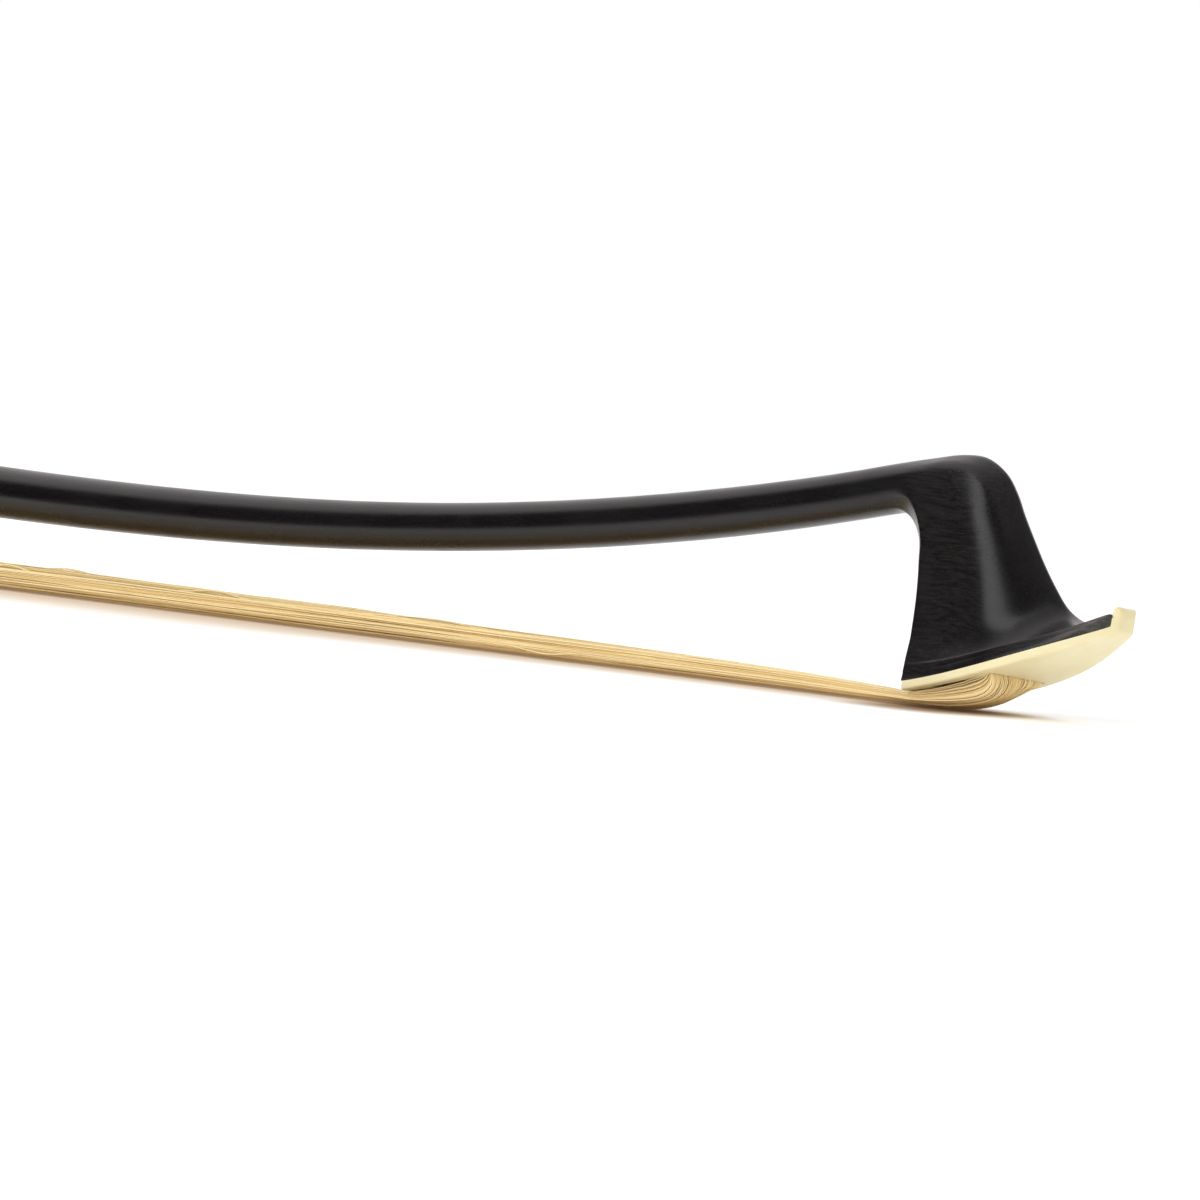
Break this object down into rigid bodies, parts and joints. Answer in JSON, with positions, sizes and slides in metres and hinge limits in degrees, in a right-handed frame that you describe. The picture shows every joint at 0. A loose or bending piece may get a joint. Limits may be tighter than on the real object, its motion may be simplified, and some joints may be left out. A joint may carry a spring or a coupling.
{
  "type": "double bass bow",
  "caption": "Double bass bow with a swept black head, cream tip plate, flat hair ribbon, ebony frog and an adjuster screw that slides the frog to tighten the hair.",
  "frame": {"origin": "centre of the bounding box's base, in the plane of the ferrule's flat foot", "axes": "+X from the handle to the head, +Y across the bow, +Z from the hair up to the stick"},
  "size_m": [0.7055, 0.0196, 0.0421],
  "materials": {
    "satin_black": "satin",
    "ebony": "polished",
    "cream": "satin",
    "horsehair": "fine lengthwise strands",
    "maple": "raw",
    "thread": "matte",
    "leather": "satin",
    "nickel_silver": "polished",
    "steel": "bright",
    "brass": "machined",
    "pearl": "polished"
  },
  "bodies": {
    "stick": {"stick": "satin_black", "head_lining": "ebony", "tip_plate": "cream", "tip_plug": "maple", "tip_knot": "thread", "hair_ribbon": "horsehair", "thumb_leather": "leather", "grip_winding": "steel"},
    "frog": {"frog_body": "ebony", "underslide": "nickel_silver", "underslide_pin_front": "nickel_silver", "underslide_pin_back": "nickel_silver", "frog_eyelet": "brass", "ferrule": "nickel_silver", "spread_wedge": "maple", "frog_plug": "maple", "frog_knot": "thread", "pearl_slide": "pearl", "slide_backing": "ebony", "heel_plate": "nickel_silver", "heel_pin_upper": "nickel_silver", "heel_pin_lower": "nickel_silver", "pearl_eye_left": "pearl", "pearl_eye_right": "pearl", "eye_ring_left": "nickel_silver", "eye_ring_right": "nickel_silver"},
    "screw": {"adjuster_screw": "steel", "button_collar_front": "nickel_silver", "button_core": "ebony", "button_collar_back": "nickel_silver", "button_pearl": "pearl"}
  },
  "joints": [
    {"name": "screw_turn", "type": "hinge", "parent": "stick", "child": "screw", "pos_m": [-0.33334, 0, 0.03554], "axis": [0.9986, 0, -0.0531], "range_deg": [-1380, 1830]},
    {"name": "frog_slide", "type": "slide", "parent": "stick", "child": "frog", "axis": [-0.9986, 0, 0.0531], "range_m": [-0.003, 0.004], "deforming": ["hair_ribbon"]}
  ],
  "couplings": [
    {"joint": "screw_turn", "follows": "frog_slide", "rad_per_m": 7854}
  ]
}
